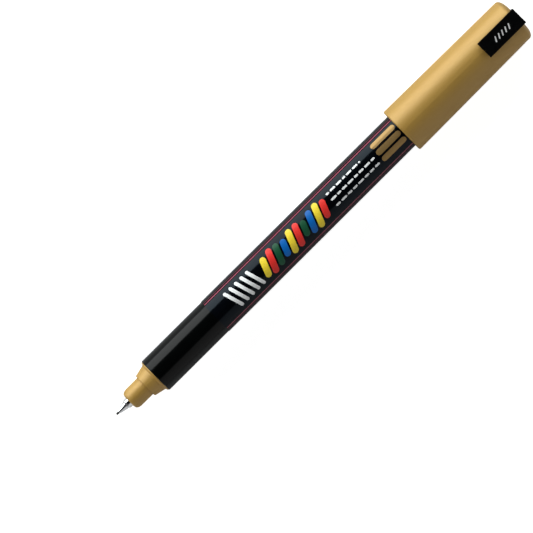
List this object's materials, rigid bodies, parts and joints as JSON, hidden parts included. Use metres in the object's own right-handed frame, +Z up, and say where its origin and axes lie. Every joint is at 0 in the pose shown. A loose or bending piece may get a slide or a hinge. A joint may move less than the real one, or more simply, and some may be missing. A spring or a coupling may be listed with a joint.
{
  "type": "calligraphy marker",
  "caption": "Ultra-fine pump-valve paint marker for lettering: black barrel, gold front section and gold clip cap posted on the tail, pressable steel-sleeved nib.",
  "frame": {"origin": "centre of the bounding box's bottom: on the table under the middle of the pen's length", "axes": "+X along the pen from the nib to the cap's closed end, +Z up through the clip, +Y completes the right-handed frame; the pen's axis lies 6.8 mm above the table"},
  "size_m": [0.1474, 0.0136, 0.015],
  "materials": {
    "barrel_black": "moulded gloss black",
    "film_black": "printed shrink film, black ground",
    "gold_plastic": "satin metallic gold",
    "black_rubber": "moulded elastomer",
    "nib_plastic": "dark fine-bore nib rod",
    "tip_steel": "polished",
    "white_plastic": "natural",
    "fibre": "bonded fibre, paint soaked",
    "stem_plastic": "natural acetal",
    "spring_steel": "drawn stainless wire",
    "ball_steel": "ground",
    "liner_plastic": "natural polyethylene",
    "clip_black": "satin black"
  },
  "bodies": {
    "barrel": {"barrel": "barrel_black", "printed_film": "film_black", "tail_plug": "gold_plastic", "front_section": "gold_plastic", "barrel_seal": "black_rubber", "ink_buffer": "fibre", "valve_housing": "white_plastic", "valve_seat": "black_rubber", "spring_retainer": "white_plastic", "valve_spring": "spring_steel"},
    "nib_unit": {"nib": "nib_plastic", "steel_tip": "tip_steel", "nib_carrier": "white_plastic", "feed_core": "fibre"},
    "valve": {"valve_stem": "stem_plastic"},
    "ball_front": {"mixing_ball_front": "ball_steel"},
    "ball_rear": {"mixing_ball_rear": "ball_steel"},
    "cap": {"cap_shell": "gold_plastic", "inner_cap": "liner_plastic"},
    "clip": {"clip": "clip_black"}
  },
  "joints": [
    {"name": "nib_press", "type": "slide", "parent": "barrel", "child": "nib_unit", "axis": [1, 0, 0], "range_m": [0, 0.0012], "stiffness_N_per_m": 800, "springref_m": -0.0015},
    {"name": "valve_travel", "type": "slide", "parent": "barrel", "child": "valve", "axis": [1, 0, 0], "range_m": [0, 0.0012], "deforming": ["valve_spring"]},
    {"name": "ball_front_roll", "type": "slide", "parent": "barrel", "child": "ball_front", "axis": [1, 0, 0], "range_m": [0, 0.07]},
    {"name": "ball_rear_roll", "type": "slide", "parent": "barrel", "child": "ball_rear", "axis": [1, 0, 0], "range_m": [0, 0.07]},
    {"name": "cap_pull", "type": "slide", "parent": "barrel", "child": "cap", "axis": [1, 0, 0], "range_m": [0, 0.03]},
    {"name": "clip_flex", "type": "hinge", "parent": "cap", "child": "clip", "pos_m": [0.07365, 0, 0.0104], "axis": [0, 1, 0], "range_deg": [0, 4], "stiffness_Nm_per_rad": 0.2, "springref_deg": -1.15}
  ],
  "couplings": [
    {"joint": "valve_travel", "follows": "nib_press", "ratio": 1},
    {"joint": "ball_rear_roll", "follows": "ball_front_roll", "ratio": 1}
  ]
}
